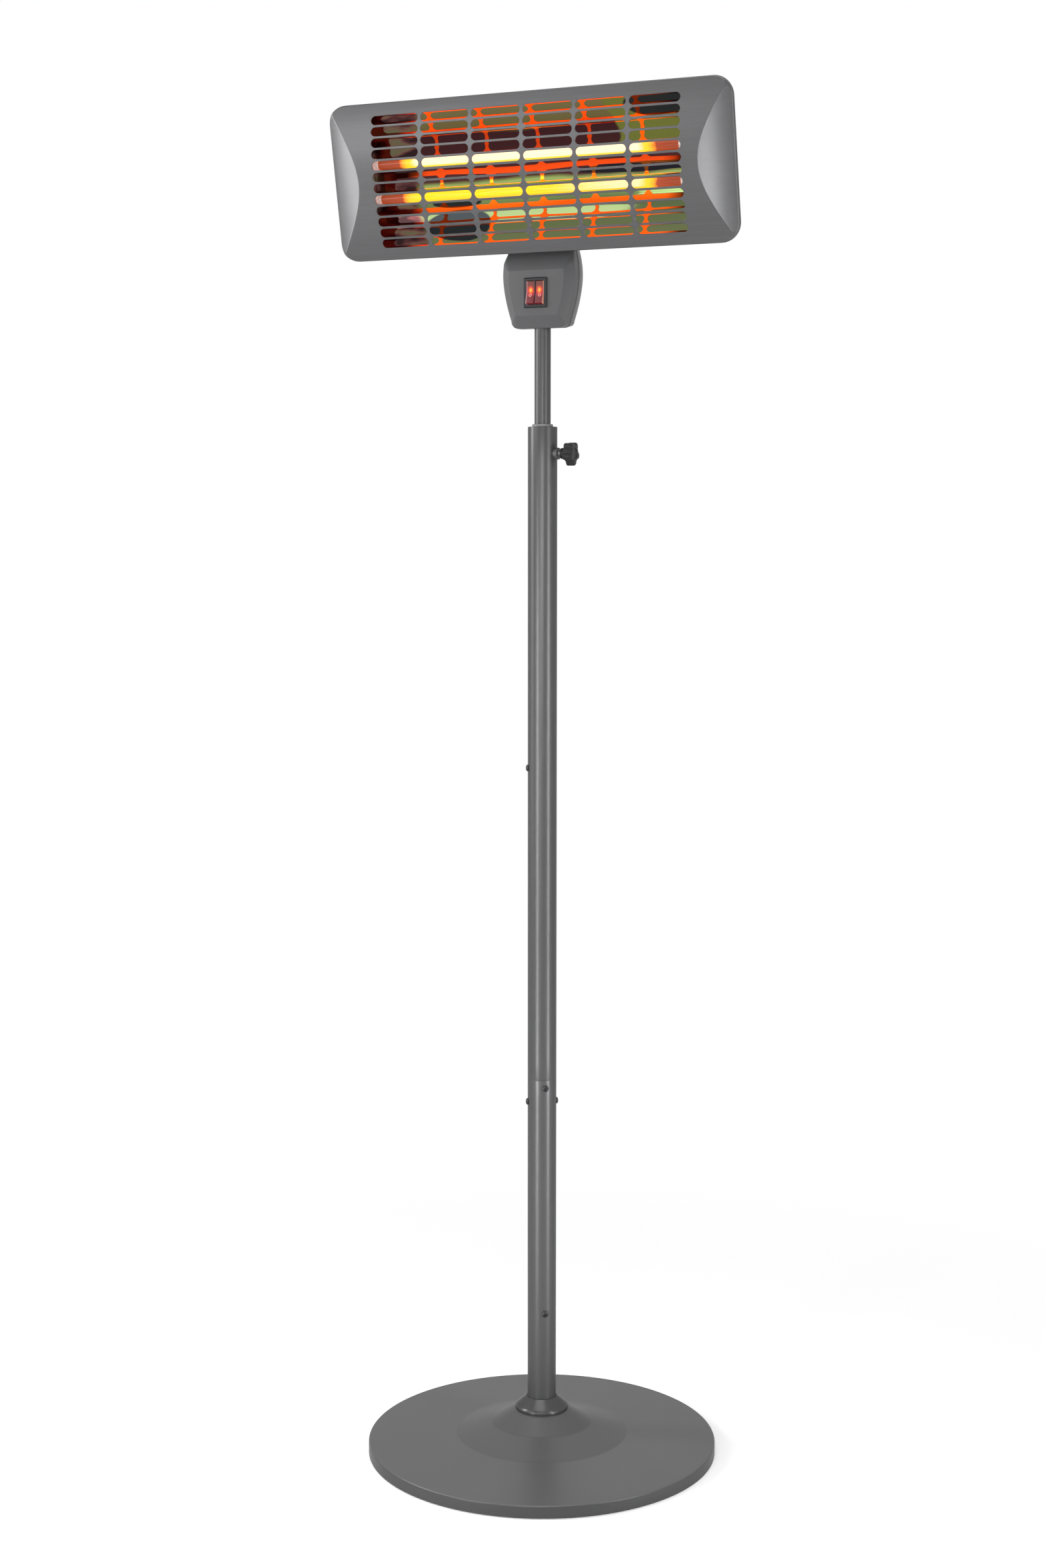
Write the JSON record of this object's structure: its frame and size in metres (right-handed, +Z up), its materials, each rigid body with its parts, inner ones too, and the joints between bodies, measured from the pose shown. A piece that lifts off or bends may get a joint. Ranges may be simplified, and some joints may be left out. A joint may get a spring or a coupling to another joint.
{
  "type": "infrared patio heater",
  "caption": "Free-standing electric infrared heater: a tilting reflector head with quartz elements behind a slotted grille, on a telescopic mast with a round weighted base.",
  "frame": {"origin": "on the pole's axis at floor level, in the middle of the round base", "axes": "+Z up along the pole, the heater's face looks towards -Y, +X to the right of someone facing the heater"},
  "size_m": [0.583, 0.49, 1.8704],
  "materials": {
    "painted_steel": "satin metallic grey powder coat",
    "zinc_steel": "bright zinc plating",
    "black_steel": "black oxide",
    "concrete": "cast, rough",
    "rubber": "matt",
    "nylon": "moulded nylon",
    "brass": "turned",
    "knob_plastic": "fine texture",
    "box_plastic": "fine moulded texture",
    "switch_black": "satin gloss",
    "lit_red_plastic": "translucent red, lit from inside",
    "ceramic": "unglazed steatite",
    "mirror_aluminium": "polished mirror sheet",
    "quartz": "clear fused quartz",
    "glowing_wire": "resistance wire at glowing heat"
  },
  "bodies": {
    "stand": {"rubber_feet": "rubber", "bottom_plate": "zinc_steel", "plate_screws": "zinc_steel", "base_weight": "concrete", "base_cover": "painted_steel", "spigot_tube": "zinc_steel", "spigot_bolt": "zinc_steel", "spigot_washer": "zinc_steel", "pole_collar": "painted_steel", "lower_tube": "painted_steel", "foot_screw": "black_steel", "joint_sleeve": "zinc_steel", "joint_screws": "black_steel", "upper_tube": "painted_steel", "stop_screw": "black_steel", "top_bush": "nylon", "knob_boss": "painted_steel"},
    "clamp_pad": {"clamp_pad": "brass"},
    "clamp_knob": {"clamp_stud": "zinc_steel", "clamp_knob": "knob_plastic"},
    "mast_guide": {"mast_guide": "nylon"},
    "mast": {"mast_tube": "painted_steel", "mast_bracket": "zinc_steel", "mast_screws": "zinc_steel", "box_front_shell": "box_plastic", "box_rear_shell": "box_plastic", "box_screws": "black_steel", "switch_housing": "switch_black", "switch_blades": "brass", "terminal_block": "ceramic", "tip_switch": "knob_plastic", "cable_gland": "knob_plastic", "gland_nut": "knob_plastic", "hinge_bolt": "zinc_steel", "hinge_nut": "zinc_steel", "friction_washers": "knob_plastic"},
    "rocker_left": {"rocker_left": "lit_red_plastic"},
    "rocker_right": {"rocker_right": "lit_red_plastic"},
    "head": {"head_bracket": "zinc_steel", "bracket_screws": "zinc_steel", "rear_housing": "painted_steel", "front_grille": "painted_steel", "housing_screws": "zinc_steel", "reflector": "mirror_aluminium", "element_plate_left": "zinc_steel", "element_plate_right": "zinc_steel", "ceramic_caps": "ceramic", "quartz_tube_upper": "quartz", "quartz_tube_lower": "quartz", "heating_coil_upper": "glowing_wire", "heating_coil_lower": "glowing_wire", "thermal_cutout": "knob_plastic", "head_terminals": "ceramic"}
  },
  "joints": [
    {"name": "mast_slide", "type": "slide", "parent": "stand", "child": "mast_guide", "axis": [0, 0, 1], "range_m": [-0.032, 0.25]},
    {"name": "mast_turn", "type": "hinge", "parent": "mast_guide", "child": "mast", "pos_m": [0, 0, 1.2], "axis": [0, 0, 1], "range_deg": [-180, 180]},
    {"name": "head_tilt", "type": "hinge", "parent": "mast", "child": "head", "pos_m": [0, 0.008, 1.66], "axis": [1, 0, 0], "range_deg": [-11, 15]},
    {"name": "pad_slide", "type": "slide", "parent": "stand", "child": "clamp_pad", "axis": [1, 0, 0], "range_m": [0, 0.003]},
    {"name": "knob_turn", "type": "hinge", "parent": "clamp_pad", "child": "clamp_knob", "pos_m": [0.04, 0, 1.4], "axis": [1, 0, 0], "range_deg": [0, 720]},
    {"name": "rocker_left_swing", "type": "hinge", "parent": "mast", "child": "rocker_left", "pos_m": [-0.00685, -0.0219, 1.613], "axis": [1, 0, 0], "range_deg": [0, 16]},
    {"name": "rocker_right_swing", "type": "hinge", "parent": "mast", "child": "rocker_right", "pos_m": [0.00685, -0.0219, 1.613], "axis": [1, 0, 0], "range_deg": [0, 16]}
  ],
  "couplings": [
    {"joint": "pad_slide", "follows": "knob_turn", "m_per_rad": 0.00019894}
  ]
}
